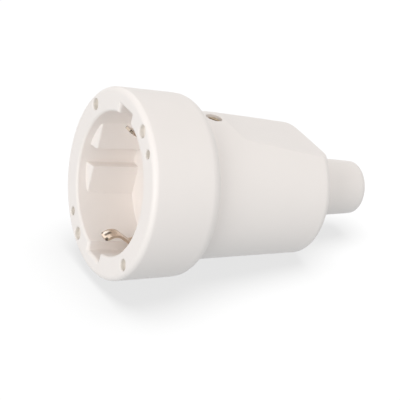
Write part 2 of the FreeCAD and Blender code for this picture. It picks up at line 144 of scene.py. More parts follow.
class GripSizes(bpy.types.PropertyGroup):
    """Sizes of the rear grip and its cord spout."""

    root_r: length("Root radius", 0.02085, "Radius at the head")
    end: length("End", 0.0602, "From the front face to the grip's end")
    end_r: length("End radius", 0.01855, "Radius at the grip's end before rounding")
    end_round: length("End rounding", 0.0025, "Rounding of the grip's end")
    wall: length("Wall", 0.0024, "Wall at the grip's end")
    bore_r: length("Bore", 0.0174, "Radius of the bore for the spigot")
    spout_root_r: length("Spout root", 0.0086, "Radius of the spout at the grip")
    spout_end: length("Spout end", 0.078795, "From the front face to the spout's end")
    spout_end_r: length("Spout end radius", 0.00735, "Radius at the spout's end before rounding")
    spout_round: length("Spout rounding", 0.0022, "Rounding of the spout's end")
    mouth_round: length("Mouth rounding", 0.0004, "Rounding of the cord hole's mouth")
    panel_front: length("Panel front", 0.0306, "From the front face to the panel's step")
    panel_end_height: length("Panel height", 0.0143, "From the axis to the panel at the grip's end")
    panel_slope: angle("Panel slope", 8.1, "Slope of the panel against the axis")
    panel_arc_r: length("Panel arc", 0.014, "Radius of the panel's step")
    panel_wall: length("Panel wall", 0.002, "Wall under the panel and over the rest flat")
    edge_round: length("Edge rounding", 0.0004, "Rounding of the panel's edges")
    sink_x: length("Screw place", 0.0276, "From the front face to the housing screws")
    sink_r: length("Sink radius", 0.0023, "Radius of the sunk hole for a housing screw")
    seat_height: length("Screw seat", 0.0186, "From the axis to the seat of a housing screw")
    sink_round: length("Sink rounding", 0.0003, "Rounding of the sunk hole's edge")


class MetalSizes(bpy.types.PropertyGroup):
    """Sizes of the earth clips and the housing screws."""

    strap_width: length("Strap width", 0.0042, "Width of the earth strap")
    strap_thickness: length("Strap thickness", 0.0008, "Thickness of the earth strap")
    strap_bend: length("Strap bend", 0.0014, "Radius of the strap's bends")
    strap_edge: length("Strap edge", 0.0001, "Rounding of the strap's edges")
    tip_corner: length("Tip corner", 0.0012, "Rounding of the clips' corners")
    arm_height: length("Arm height", 0.0144, "From the axis to the strap's arms at the floor")
    screw_head_r: length("Head radius", 0.0019, "Radius of a housing screw's head")
    screw_head_height: length("Head height", 0.0012, "Height of a housing screw's head")
    screw_shank_r: length("Shank radius", 0.00125, "Radius of a housing screw's shank")
    screw_length: length("Shank length", 0.006, "Length of a housing screw's shank")
    screw_round: length("Head rounding", 0.0003, "Rounding of a screw head's edge")
    slot_width: length("Slot width", 0.0006, "Width of the screw slot")
    slot_depth: length("Slot depth", 0.0006, "Depth of the screw slot")
    slot_turn: angle("Slot turn", 130, "Turn of the screw slot from the socket's axis")


class FinishColours(bpy.types.PropertyGroup):
    """Colours of the finishes."""

    plastic: colour("Plastic", (0.935, 0.88, 0.84), "Moulded white of the head and the grip")
    # pocket is the colour of the painted shade in the blind holes of the front ring
    pocket: colour("Pocket", (0.58, 0.55, 0.455), "Shaded plastic in the blind holes of the front ring")
    carrier: colour("Carrier", (0.42, 0.41, 0.39), "Inner plastic")
    brass: colour("Brass", (0.80, 0.62, 0.36), "Contacts and earth terminal")
    aged: colour("Aged brass", (0.46, 0.36, 0.25), "Housing screws")
    plated: colour("Plated brass", (0.66, 0.55, 0.45), "Earth strap")
    # Colour of the painted highlight streak on the clips' tips
    highlight_streak: colour("Polished brass", (0.95, 0.92, 0.86), "Streak that plugs wear into the earth clips")
    steel: colour("Steel", (0.62, 0.62, 0.61), "Small screws, nuts and springs")


class StageSettings(bpy.types.PropertyGroup):
    """Camera, lamps and floor."""

    azimuth: angle("Azimuth", -27.01, "Turn of the camera about the vertical")
    elevation: angle("Elevation", 27.88, "Height of the camera over the horizon")
    roll: angle("Roll", 2.82, "Turn of the camera about its own line of sight")
    distance: length("Distance", 0.66628, "From the camera to its aim")
    aim: FloatVectorProperty(
        name="Aim",
        description="Point that the camera looks at, from the middle of the socket's face",
        default=(0.0292, -0.00053, -0.0044),
        precision=5,
        unit="LENGTH",
        subtype="TRANSLATION",
    )
    lens: FloatProperty(name="Lens", description="Focal length in millimetres", default=216.0, min=1)
    sky: share("Sky", 0.58, "Strength of the even light from all round")
    face_power: watts("Face", 6.5, "Power of the lamp in front of the socket's face")
    back_power: watts("Back", 2.1, "Power of the lamp behind the object")
    fill_power: watts("Fill", 3.0, "Power of the lamp beside the camera")
    floor_power: watts("Floor", 36.0, "Power of the lamp that lights the floor alone")
    floor: colour("Floor", (0.82, 0.86, 0.89), "Colour of the light that the floor throws back")
    floor_bounce: share("Bounce", 0.62, "Strength of the light that the floor throws back")
    floor_shadow: share("Shadow", 0.36, "Share of the floor's white that a full shadow takes away")


class SocketSettings(bpy.types.PropertyGroup):
    """Everything that a user of this file can change."""

    head: PointerProperty(type=HeadSizes)
    grip: PointerProperty(type=GripSizes)
    metal: PointerProperty(type=MetalSizes)
    finish: PointerProperty(type=FinishColours)
    stage: PointerProperty(type=StageSettings)
    steps: IntProperty(name="Steps", description="Facets round the axis", default=180, min=24)


def settings():
    """The scene's settings."""
    return bpy.context.scene.inline_socket


# Modelling

MERGE = 1e-7
ROUND_SEGMENTS = 6
HEAD_SEGMENTS = 8
GRIP_SEGMENTS = 10
BEND_SEGMENTS = 8
TIP_SEGMENTS = 5
EDGE_SEGMENTS = 4
SMALL_STEPS = 32
RING_HOLE_STEPS = 40
HOLE_STEPS = 48
SCREW_STEPS = 64
ROOM_STEPS = 120
PANEL_STEPS = 128
OUTSIDE = 0.0005
FLAT_DEG = 0.05
CREASE_DEG = 35
LARGE_FACE_WEIGHT = 100


def rounded(bm, parts, reach, segments=EDGE_SEGMENTS, affect="EDGES"):
    """Rounds edges of a shell, or corners of an outline or a sheet."""
    bmesh.ops.bevel(
        bm,
        geom=parts,
        offset=reach,
        offset_type="OFFSET",
        segments=segments,
        profile=0.5,
        affect=affect,
        material=-1,
        clamp_overlap=affect == "EDGES",
    )
    return bm


def corner_reach(before, here, after, rounding):
    """How far along its edges a corner is rounded."""
    back = Vector((before[0] - here[0], before[1] - here[1]))
    ahead = Vector((after[0] - here[0], after[1] - here[1]))
    return rounding / math.tan(back.angle(ahead) / 2)


def outline(bm, corners, segments=ROUND_SEGMENTS):
    """Closed outline in the XZ plane from corners of (x, z, rounding), as edges without a face."""
    verts = [bm.verts.new((x, 0, z)) for x, z, rounding in corners]
    bm.faces.new(verts)
    for index, (x, z, rounding) in enumerate(corners):
        if not rounding:
            continue
        after = corners[(index + 1) % len(corners)]
        reach = corner_reach(corners[index - 1], corners[index], after, rounding)
        rounded(bm, [verts[index]], reach, segments, "VERTICES")
    bmesh.ops.delete(bm, geom=list(bm.faces), context="FACES_ONLY")


def turned(corners, steps, segments=ROUND_SEGMENTS):
    """Closed shell turned about the X axis from an outline of (x, radius, rounding)."""
    bm = bmesh.new()
    outline(bm, corners, segments)
    on_axis = [edge for edge in bm.edges if max(abs(vert.co.z) for vert in edge.verts) < MERGE]
    bmesh.ops.delete(bm, geom=on_axis, context="EDGES")
    bmesh.ops.spin(
        bm,
        geom=list(bm.verts) + list(bm.edges),
        cent=(0, 0, 0),
        axis=AXIS_X,
        angle=2 * math.pi,
        steps=steps,
        use_merge=True,
    )
    bmesh.ops.remove_doubles(bm, verts=list(bm.verts), dist=MERGE)
    bmesh.ops.recalc_face_normals(bm, faces=list(bm.faces))
    return bm


def bar(start, end, radius, steps=SMALL_STEPS):
    """Plain round bar along the X axis."""
    return turned([(start, 0, 0), (start, radius, 0), (end, radius, 0), (end, 0, 0)], steps)


def block(low, high):
    """Box between two corners."""
    bm = bmesh.new()
    bmesh.ops.create_cube(bm, size=1)
    low = Vector(low)
    high = Vector(high)
    bmesh.ops.scale(bm, vec=high - low, verts=list(bm.verts))
    bmesh.ops.translate(bm, vec=(low + high) / 2, verts=list(bm.verts))
    return bm


def moved(bm, matrix):
    """Moves a whole shell."""
    bmesh.ops.transform(bm, matrix=matrix, verts=list(bm.verts))
    return bm


def half_turned(bm):
    """A copy half a turn round the axis."""
    return moved(bm.copy(), Matrix.Rotation(math.pi, 4, "X"))


def stood(bm, x):
    """Stands a shell that was turned about X upright, with its axis at a place along the socket."""
    return moved(bm, Matrix.Translation((x, 0, 0)) @ Matrix.Rotation(-math.pi / 2, 4, "Y"))


def placed(name, data):
    """New object in the scene."""
    made = bpy.data.objects.new(name, data)
    bpy.context.scene.collection.objects.link(made)
    return made


def shell_object(name, shells):
    """Object that holds the given shells in one mesh."""
    mesh = bpy.data.meshes.new(name)
    whole = bmesh.new()
    for bm in shells:
        part = bpy.data.meshes.new(name + "_part")
        bm.to_mesh(part)
        bm.free()
        whole.from_mesh(part)
        bpy.data.meshes.remove(part)
    whole.to_mesh(mesh)
    whole.free()
    return placed(name, mesh)


def applied(piece):
    """Turns a piece's modifiers into its mesh."""
    graph = bpy.context.evaluated_depsgraph_get()
    mesh = bpy.data.meshes.new_from_object(piece.evaluated_get(graph), depsgraph=graph)
    old = piece.data
    piece.modifiers.clear()
    piece.data = mesh
    mesh.name = piece.name
    bpy.data.meshes.remove(old)


def combined(piece, shells, operation="DIFFERENCE"):
    """Cuts shells out of a piece, or joins them to it."""
    tool = shell_object(piece.name + "_tool", shells)
    change = piece.modifiers.new(operation.lower(), "BOOLEAN")
    change.object = tool
    change.operation = operation
    change.solver = "EXACT"
    applied(piece)
    mesh = tool.data
    bpy.data.objects.remove(tool)
    bpy.data.meshes.remove(mesh)


def edit(piece, change):
    """Runs a change on a piece's mesh."""
    bm = bmesh.new()
    bm.from_mesh(piece.data)
    change(bm)
    bm.to_mesh(piece.data)
    bm.free()


def cleaned(bm):
    """Merges what a cut left in pieces on flat faces."""
    bmesh.ops.remove_doubles(bm, verts=list(bm.verts), dist=MERGE)
    bmesh.ops.dissolve_limit(
        bm,
        angle_limit=math.radians(FLAT_DEG),
        use_dissolve_boundaries=False,
        verts=list(bm.verts),
        edges=list(bm.edges),
    )


def finished(piece, material, replaced, crease_deg=CREASE_DEG):
    """Puts a piece in its place in the row, with smooth shading, its finish and its body."""
    edit(piece, lambda bm: moved(bm, PLACE))
    for face in piece.data.polygons:
        face.use_smooth = True
    piece.data.set_sharp_from_angle(angle=math.radians(crease_deg))
    weighted = piece.modifiers.new("weighted_normals", "WEIGHTED_NORMAL")
    weighted.keep_sharp = True
    weighted.weight = LARGE_FACE_WEIGHT
    applied(piece)
    piece.data.materials.clear()
    piece.data.materials.append(material)
    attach(piece, "root")
    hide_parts(*replaced)


# Finishes

MIX_FACTOR, MIX_A, MIX_B, MIX_RESULT = 0, 6, 7, 2
WHITE = (1, 1, 1, 1)
EVEN = (1, 1, 1)

PLASTIC_CLOUDS, PLASTIC_SPECKS, PLASTIC_GRAIN = 90, 2600, 9000
CLOUD_DARK, CLOUD_LIGHT = 0.985, 1.012
SPECK_START, SPECK_WIDTH, SPECK_SHARE, SPECK_SHADE = 0.62, 0.2, 0.06, 0.86
SMOOTH_DROP, CLOUD_ROUGH, GRAIN_ROUGH = 0.05, 0.07, 0.05
GRAIN_HEIGHT, SPECK_HEIGHT = 0.6, 0.4
PLASTIC_SHINE = 0.42
# Share of the painted shade in the front ring's blind holes
HOLE_SHADE_SHARE = 0.4

METAL_CLOUDS = 420
STAIN_START, STAIN_WIDTH, STAIN_SHARE, STAIN_ROUGH = 0.45, 1 / 3, 0.6, 0.12
LINE_RAGGED, LINE_SHARE, LINE_SHADE, LINE_ROUGH = 0.65, 0.25, 1.15, 0.1
LINE_HEIGHT = 0.000015
DARK_SHADE = 0.2
SLEEVE_FADE, SLEEVE_SHARE = 0.006, 0.85

# Painted highlight streak and painted shade on the clips' tips
TIP_LIGHT_SHARE = 0.9
WANDER_SCALE, WANDER = 620, 0.0005
STREAK_START, STREAK_RISE = 0.0002, 0.0004
STREAK_END, STREAK_FALL = 0.0024, 0.0006
TIP_END, TIP_FALL = 0.0007, 0.0003
CORNER_START, CORNER_RISE = 1.1e-6, 6e-7
DARK_MIDDLE, DARK_HALF = 0.0001, 0.0007
BRIGHT_MIDDLE, BRIGHT_HALF = 0.00115, 0.0006


class Value:
    """A shader socket that takes part in Python expressions."""

    def __init__(self, finish, socket):
        self.finish = finish
        self.socket = socket

    def _math(self, operation, first, second):
        return self.finish.node("ShaderNodeMath", {"operation": operation}, {0: first, 1: second})

    def __add__(self, other):
        return self._math("ADD", self, other)

    __radd__ = __add__

    def __sub__(self, other):
        return self._math("SUBTRACT", self, other)

    def __rsub__(self, other):
        return self._math("SUBTRACT", other, self)

    def __mul__(self, other):
        return self._math("MULTIPLY", self, other)

    __rmul__ = __mul__

    def __truediv__(self, other):
        return self._math("DIVIDE", self, other)

    def __rtruediv__(self, other):
        return self._math("DIVIDE", other, self)

    def clipped(self):
        """The value kept between 0 and 1."""
        return self.finish.node("ShaderNodeClamp", {}, {0: self})


class Finish:
    """A material or a world under construction."""

    def __init__(self, owner):
        self.owner = owner
        owner.use_nodes = True
        self.tree = owner.node_tree
        self.tree.nodes.clear()

    def node(self, kind, options=None, sockets=None, output=0):
        """Adds a node, with its options set first and then its sockets' values or links."""
        made = self.tree.nodes.new(kind)
        for name, value in (options or {}).items():
            setattr(made, name, value)
        for key, value in (sockets or {}).items():
            if isinstance(value, Value):
                self.tree.links.new(value.socket, made.inputs[key])
            else:
                made.inputs[key].default_value = value
        return Value(self, made.outputs[output]) if made.outputs else None

    def place(self):
        """Object coordinates."""
        return self.node("ShaderNodeTexCoord", output="Object")

    def noise(self, per_metre, detail, stretch=EVEN, roughness=0.5):
        """Even noise with so many bumps to the metre."""
        spread = self.vector("MULTIPLY", self.place(), stretch)
        return self.node(
            "ShaderNodeTexNoise",
            {},
            {"Vector": spread, "Scale": per_metre, "Detail": detail, "Roughness": roughness},
        )

    def vector(self, operation, first, second, output=0):
        """Adds a Vector Math node."""
        return self.node("ShaderNodeVectorMath", {"operation": operation}, {0: first, 1: second}, output)

    def from_face(self):
        """Place measured from the middle of the socket's face."""
        return self.vector("SUBTRACT", self.place(), PLACE.translation)

    def depth(self):
        """Distance in metres behind the socket's face."""
        return self.vector("DOT_PRODUCT", self.from_face(), PLACE.to_3x3() @ AXIS_X, "Value")

    def across(self):
        """Distance in metres along the line of the pins, from the socket's middle."""
        return self.vector("DOT_PRODUCT", self.place(), AXIS_Y, "Value")

    def radius(self):
        """Distance in metres from the socket's axis."""
        across = self.vector("CROSS_PRODUCT", self.from_face(), PLACE.to_3x3() @ AXIS_X)
        return self.vector("DISTANCE", across, (0, 0, 0), "Value")

    def mixed(self, factor, first, second):
        """Colour between two others."""
        return self.node(
            "ShaderNodeMix",
            {"data_type": "RGBA"},
            {MIX_FACTOR: factor, MIX_A: first, MIX_B: second},
            MIX_RESULT,
        )

    def bump(self, height, distance):
        """Normal from a height."""
        return self.node("ShaderNodeBump", {}, {"Height": height, "Distance": distance, "Strength": 1.0})

    def done(self, **sockets):
        """Ends the material in a Principled shader with the given sockets."""
        named = {name.replace("_", " "): value for name, value in sockets.items()}
        shader = self.node("ShaderNodeBsdfPrincipled", {}, named)
        self.node("ShaderNodeOutputMaterial", {}, {"Surface": shader})
        return self.owner


def rgba(rgb, gain=1.0):
    """Opaque colour, darkened or lightened."""
    return (rgb[0] * gain, rgb[1] * gain, rgb[2] * gain, 1.0)


def rising(value, start, width):
    """0 up to a start, and 1 from a width past it."""
    return ((value - start) / width).clipped()


def falling(value, end, width):
    """0 from an end on, and 1 up to a width before it."""
    return ((end - value) / width).clipped()


def hump(value, middle, half):
    """1 in the middle of a band and 0 outside it."""
    off = (value - middle) / half
    return (1 - off * off).clipped()


def ring_hole_shade(finish):
    """Mask for painted shade: 1 inside the blind holes of the head's front ring, and 0 elsewhere."""
    head = settings().head
    soft = head.hole_round
    depth = finish.depth()
    radius = finish.radius()
    widest = max(hole_r for degrees, hole_r in RING_HOLES) + soft / 2
    sunk = rising(depth, soft / 3, soft)
    shallow = falling(depth, head.hole_depth + soft, soft)
    off_axis = rising(radius, head.hole_circle_r - widest, soft)
    off_side = falling(radius, head.hole_circle_r + widest, soft)
    across = finish.across() / head.notch_width
    off_notch = (across * across - 1).clipped()
    return sunk * shallow * off_axis * off_side * off_notch


def moulded_plastic(name, rgb, roughness, grain, pocket=None):
    """Moulded plastic with grain, faint clouds, small changes of gloss and perhaps painted shade in the
    front ring's blind holes.
    """
    finish = Finish(bpy.data.materials.new(name))
    clouds = finish.noise(PLASTIC_CLOUDS, 3)
    specks = finish.noise(PLASTIC_SPECKS, 2)
    fine = finish.noise(PLASTIC_GRAIN, 2)
    base = finish.mixed(clouds, rgba(rgb, CLOUD_DARK), rgba(rgb, CLOUD_LIGHT))
    speckled = rising(specks, SPECK_START, SPECK_WIDTH) * SPECK_SHARE
    base = finish.mixed(speckled, base, rgba(rgb, SPECK_SHADE))
    if pocket:
        # Painted shade that darkens the front ring's blind holes
        base = finish.mixed(ring_hole_shade(finish) * HOLE_SHADE_SHARE, base, rgba(pocket))
    gloss = roughness - SMOOTH_DROP + CLOUD_ROUGH * clouds + GRAIN_ROUGH * fine
    height = fine * GRAIN_HEIGHT + specks * SPECK_HEIGHT
    return finish.done(
        Base_Color=base,
        Roughness=gloss,
        Normal=finish.bump(height, grain),
        Specular_IOR_Level=PLASTIC_SHINE,
    )


def tip_highlight_and_shade(finish):
    """Painted shade and a painted highlight streak on the clips' tips, standing for their shadow and
    reflections.
    """
    behind = finish.depth() - CLIP_PATH[0][0]
    across = finish.across() + (finish.noise(WANDER_SCALE, 1) - 0.5) * WANDER
    streak_span = rising(behind, STREAK_START, STREAK_RISE) * falling(behind, STREAK_END, STREAK_FALL)
    at_tip = falling(behind, TIP_END, TIP_FALL)
    corner = rising(across * across, CORNER_START, CORNER_RISE)
    dark = (hump(across, DARK_MIDDLE, DARK_HALF) * streak_span + at_tip * corner).clipped()
    return dark, hump(across, BRIGHT_MIDDLE, BRIGHT_HALF) * streak_span


def sleeve_shade(finish):
    """Painted shade: 0 at the front ends of the contact sleeves and 1 deep inside them."""
    head = settings().head
    return rising(finish.depth(), head.recess_depth + head.floor_thickness, SLEEVE_FADE)


def stained_metal_and_painted_light(name, rgb, tarnish, roughness, per_metre, stretch=EVEN, painted_tip_light=False, deep=False):
    """Bare or plated metal with drawn lines and clouds of tarnish, and perhaps a painted highlight and
    painted shade on the clips' tips, or painted shade deep inside.
    """
    finish = Finish(bpy.data.materials.new(name))
    lines = finish.noise(per_metre, 3, stretch, LINE_RAGGED)
    clouds = finish.noise(METAL_CLOUDS, 3)
    stains = rising(clouds, STAIN_START, STAIN_WIDTH)
    base = finish.mixed(stains * STAIN_SHARE, rgba(rgb), rgba(tarnish))
    base = finish.mixed(lines * LINE_SHARE, base, rgba(rgb, LINE_SHADE))
    # Painted highlight streak and painted shade on the clips' tips, standing for their reflections and
    # shadow
    if painted_tip_light:
        dark, bright = tip_highlight_and_shade(finish)
        base = finish.mixed(bright * TIP_LIGHT_SHARE, base, rgba(settings().finish.highlight_streak))
        base = finish.mixed(dark * TIP_LIGHT_SHARE, base, rgba(tarnish, DARK_SHADE))
    # Painted shade deep inside the contact sleeves, in a darkened tarnish colour
    if deep:
        base = finish.mixed(sleeve_shade(finish) * SLEEVE_SHARE, base, rgba(tarnish, DARK_SHADE))
    return finish.done(
        Base_Color=base,
        Metallic=1.0,
        Roughness=roughness + STAIN_ROUGH * stains + LINE_ROUGH * lines,
        Normal=finish.bump(lines, LINE_HEIGHT),
    )


def white_plastic():
    """Satin white of the head and the grip."""
    name = "satin_white_plastic"
    made = bpy.data.materials.get(name)
    colours = settings().finish
    # pocket is the colour of the painted shade in the front ring's blind holes
    return made or moulded_plastic(
        name, colours.plastic, roughness=0.44, grain=0.000012, pocket=colours.pocket
    )


def carrier_plastic():
    """Matt inner plastic."""
    return moulded_plastic("matt_carrier_plastic", settings().finish.carrier, roughness=0.62, grain=0.00002)


def turned_brass():
    """Brass of the contacts and the earth terminal."""
    return stained_metal_and_painted_light(
        "turned_brass",
        settings().finish.brass,
        tarnish=(0.46, 0.32, 0.17),
        roughness=0.26,
        per_metre=900,
        stretch=(1, 1, 6),
        # Painted shade deep inside the contact sleeves
        deep=True,
    )


def aged_brass():
    """Brass of the housing screws, browned in the open air."""
    return stained_metal_and_painted_light(
        "aged_brass",
        settings().finish.aged,
        tarnish=(0.20, 0.15, 0.10),
        roughness=0.34,
        per_metre=1500,
    )


def plated_brass():
    """Plated spring strip of the earth clips, drawn along its length."""
    return stained_metal_and_painted_light(
        "plated_strip",
        settings().finish.plated,
        tarnish=(0.30, 0.23, 0.16),
        roughness=0.17,
        per_metre=2200,
        stretch=(0.15, 3, 0.15),
        # Painted highlight and painted shade on the clips' tips
        painted_tip_light=True,
    )


def zinc_steel():
    """Plated steel of the small screws, nuts and springs."""
    return stained_metal_and_painted_light(
        "zinc_steel",
        settings().finish.steel,
        tarnish=(0.40, 0.40, 0.41),
        roughness=0.30,
        per_metre=1200,
    )


# Pieces

RING_HOLES = ((47.4, 0.0016), (-28.4, 0.00175), (-45.4, 0.0012))
NUT_HALF = 0.0026
NUT_HEIGHTS = (0.0129, 0.0151)
NUT_BOSS_WALL = 0.0014
CLIP_PATH = ((0.0021, 0.0164, 0), (0.0054, 0.01455, 0.0032), (0.0109, 0.018, 0.0014))
PILOT_PLACE = (0.0056, 0.0064)
PILOT_R = 0.00122
PILOT_DEPTH = 0.0027
RIVET_R = 0.00152
RIVET_REACH = 0.03
WAY_LOW, WAY_HIGH = 0.011, 0.03
WAY_ROOM = OUTSIDE / 5
NOTCH_GAP = OUTSIDE / 10
BOSS_GAP = OUTSIDE / 50
FLARE_LIFT = 1 / 50
PANEL_TOLERANCE = 2e-6
PANEL_CREASE_DEG = 12
STRAP_CREASE_DEG = 40
STRAP_EDGE_DEG = 50
STRAP_EDGE_SEGMENTS = 2


def flared_hole(radius, depth, flare, steps):
    """Tool for a round blind hole along X with a rounded mouth at x = 0."""
    outer = radius + 2 * flare
    lift = flare * FLARE_LIFT
    return turned(
        [
            (-OUTSIDE, 0, 0),
            (-OUTSIDE, outer, 0),
            (-lift, outer, 0),
            (-lift, radius, flare),
            (depth, radius, flare),
            (depth, 0, 0),
        ],
        steps,
    )


def ring_holes(head):
    """Tools for the blind holes in the front ring, each with its twin half a turn round."""
    tools = []
    for degrees, radius in RING_HOLES:
        turn = math.radians(degrees)
        middle = Vector((0, math.sin(turn), math.cos(turn))) * head.hole_circle_r
        hole = flared_hole(radius, head.hole_depth, head.hole_round, RING_HOLE_STEPS)
        moved(hole, Matrix.Translation(middle))
        tools += [hole, half_turned(hole)]
    return tools


def pin_holes(head):
    """Tools for the two pin holes in the recess floor."""
    tools = []
    for side in SIDES:
        hole = flared_hole(head.pin_hole_r, head.floor_thickness * 2, head.pin_hole_lead, HOLE_STEPS)
        tools.append(moved(hole, Matrix.Translation((head.recess_depth, side * head.pin_spacing / 2, 0))))
    return tools


def clip_notches(head):
    """Tools for the notches of the earth clips, with rounded bottoms."""
    half = head.notch_width / 2
    low = settings().metal.arm_height
    rear = head.recess_depth - NOTCH_GAP
    notch = block((head.notch_flare, -half, low), (rear, half, head.notch_reach))
    bottom = [edge for edge in notch.edges if min(vert.co.z for vert in edge.verts) > low + MERGE]
    along = [edge for edge in bottom if abs(edge.verts[0].co.x - edge.verts[1].co.x) > MERGE]
    rounded(notch, along, head.notch_round)
    flare_mouth(notch, head.notch_flare, low)
    return [notch, half_turned(notch)]


def flare_mouth(bm, flare, low):
    """Draws a tool's front face forward in a rounded flare, away from y = 0 and from its low side."""
    mouth = min(bm.faces, key=lambda face: face.calc_center_median().x)
    section = [vert.co.copy() for vert in mouth.verts]
    half = max(point.y for point in section)
    reach = max(point.z for point in section) - low
    quarter = [math.pi / 2 * step / ROUND_SEGMENTS for step in range(1, ROUND_SEGMENTS + 1)]
    lift = flare * FLARE_LIFT
    stations = [(flare * (1 - math.sin(turn)) - lift, flare * (1 - math.cos(turn))) for turn in quarter]
    for x, grown in stations + [(-OUTSIDE, flare)]:
        made = bmesh.ops.extrude_discrete_faces(bm, faces=[mouth])
        mouth = made["faces"][0]
        for vert, point in zip(mouth.verts, section):
            vert.co = (x, point.y * (1 + grown / half), low + (point.z - low) * (1 + grown / reach))
    bmesh.ops.recalc_face_normals(bm, faces=list(bm.faces))


def clip_slots(head):
    """Tools for the slots through which the clips pass the recess floor."""
    half = head.slot_width / 2
    front = head.recess_depth - OUTSIDE
    rear = head.recess_depth + head.floor_thickness + OUTSIDE
    slot = block((front, -half, head.slot_low), (rear, half, head.slot_high))
    return [slot, half_turned(slot)]


def side_pads(head):
    """Flat pads at both sides of the recess, with sloped front ends and soft edges."""
    return [side_pad(head, side, half) for side in SIDES for half in SIDES]


def side_pad(head, side, half):
    """One of the four pads."""
    wall = head.recess_r + 2 * OUTSIDE
    top = math.sqrt(wall ** 2 - head.pad_distance ** 2)
    near, far = sorted((side * head.pad_distance, side * wall))
    low, high = sorted((half * head.pad_gap / 2, half * top))
    rear = head.recess_depth + OUTSIDE
    pad = block((head.pad_front, near, low), (rear, far, high))
    inner = [vert for vert in pad.verts if abs(abs(vert.co.y) - head.pad_distance) < MERGE]
    tip = [vert for vert in inner if vert.co.x < head.pad_front + MERGE]
    bmesh.ops.translate(pad, vec=(head.pad_lead, 0, 0), verts=tip)
    rounded(pad, [edge for edge in pad.edges if set(edge.verts) == set(tip)], head.pad_round)
    groove = []
    for edge in pad.edges:
        ends = [vert.co for vert in edge.verts]
        at_groove = all(abs(abs(end.z) - head.pad_gap / 2) < MERGE for end in ends)
        at_wall = all(abs(abs(end.y) - wall) < MERGE for end in ends)
        at_rear = all(end.x > rear - MERGE for end in ends)
        if at_groove and not at_wall and not at_rear:
            groove.append(edge)
    return rounded(pad, groove, head.groove_round)


def nut_bosses(head):
    """Thickenings in the spigot that hold the nuts."""
    grip = settings().grip
    half = NUT_HALF + NUT_BOSS_WALL
    top = (head.spigot_r + head.spigot_inner_r) / 2
    low = (grip.sink_x - half, -half, NUT_HEIGHTS[0] - NUT_BOSS_WALL)
    boss = block(low, (head.spigot_end - BOSS_GAP, half, top))
    return [boss, half_turned(boss)]


def nut_pockets(head):
    """Tools for the nuts' pockets."""
    grip = settings().grip
    low, high = NUT_HEIGHTS
    pocket = block((grip.sink_x - NUT_HALF, -NUT_HALF, low), (head.spigot_end + OUTSIDE, NUT_HALF, high))
    return [pocket, half_turned(pocket)]


def carrier_pilots(head):
    """Tools for the blind holes behind the recess floor that take the carrier's screws."""
    rear = head.recess_depth + head.floor_thickness
    tools = []
    for side in SIDES:
        hole = bar(rear - PILOT_DEPTH, rear + OUTSIDE, PILOT_R)
        tools.append(moved(hole, Matrix.Translation((0, side * PILOT_PLACE[0], PILOT_PLACE[1]))))
    return tools


def screw_ways(grip):
    """Tools for the holes of the housing screws' shanks."""
    radius = settings().metal.screw_shank_r + WAY_ROOM
    upper = stood(bar(WAY_LOW, WAY_HIGH, radius), grip.sink_x)
    return [upper, half_turned(upper)]


def head_shell(head, steps):
    """The head's turned body before its cuts."""
    floor_rear = head.recess_depth + head.floor_thickness
    return turned(
        [
            (head.recess_depth, 0, 0),
            (head.recess_depth, head.recess_r, head.floor_round),
            (0, head.recess_r, head.mouth_round),
            (0, head.front_r, head.front_round),
            (head.body_length, head.rear_r, head.rear_round),
            (head.body_length, head.spigot_r, 0),
            (head.spigot_end - head.spigot_lead, head.spigot_r, 0),
            (head.spigot_end, head.spigot_r - head.spigot_lead, 0),
            (head.spigot_end, head.spigot_inner_r, 0),
            (floor_rear, head.spigot_inner_r, 0),
            (floor_rear, 0, 0),
        ],
        steps,
        HEAD_SEGMENTS,
    )


class SOCKET_OT_head(bpy.types.Operator):
    """Models the front moulding with its plug recess, pads, notches and blind holes"""

    bl_idname = "socket.head"
    bl_label = "Socket Head"

    def execute(self, context):
        head = settings().head
        piece = shell_object("socket_head_shell", [head_shell(head, settings().steps)])
        combined(piece, side_pads(head), "UNION")
        combined(piece, nut_bosses(head), "UNION")
        edit(piece, cleaned)
        for tools in (clip_notches, clip_slots, ring_holes, pin_holes, carrier_pilots, nut_pockets):
            combined(piece, tools(head))
        combined(piece, screw_ways(settings().grip))
        edit(piece, cleaned)
        finished(piece, white_plastic(), ["socket_head"])
        return {"FINISHED"}


def panel_height(grip, x):
    """Height of the top panel over the axis."""
    return grip.panel_end_height + (grip.end - x) * math.tan(grip.panel_slope)


def grip_shell(grip, steps):
    """The grip's turned body with its cord bore, before its cuts."""
    front = settings().head.body_length
    bore_r = mount("cord_entry")["dims"]["r_mm"] / 1000
    return turned(
        [
            (front, bore_r, 0),
            (front, grip.root_r, 0),
            (grip.end, grip.end_r, grip.end_round),
            (grip.end, grip.spout_root_r, 0),
            (grip.spout_end, grip.spout_end_r, grip.spout_round),
            (grip.spout_end, bore_r, grip.mouth_round),
        ],
        steps,
        GRIP_SEGMENTS,
    )


def panel_plane(grip):
    """Point and upward direction of the top panel."""
    upwards = Vector((math.sin(grip.panel_slope), 0, math.cos(grip.panel_slope)))
    return Vector((grip.end, 0, grip.panel_end_height)), upwards


def panel_tool(grip):
    """Tool for the flat panel with its arc-shaped front step."""
    reach = grip.spout_end
    arc_r = grip.panel_arc_r
    bm = bmesh.new()
    bmesh.ops.create_cone(
        bm, cap_ends=True, segments=PANEL_STEPS, radius1=arc_r, radius2=arc_r, depth=2 * reach
    )
    rear = [vert for vert in bm.verts if vert.co.x > MERGE]
    bmesh.ops.translate(bm, vec=(reach, 0, 0), verts=rear)
    bmesh.ops.translate(bm, vec=(grip.panel_front + arc_r, 0, 0), verts=list(bm.verts))
    panel, upwards = panel_plane(grip)
    cut_flat(bm, panel, -upwards)
    return bm


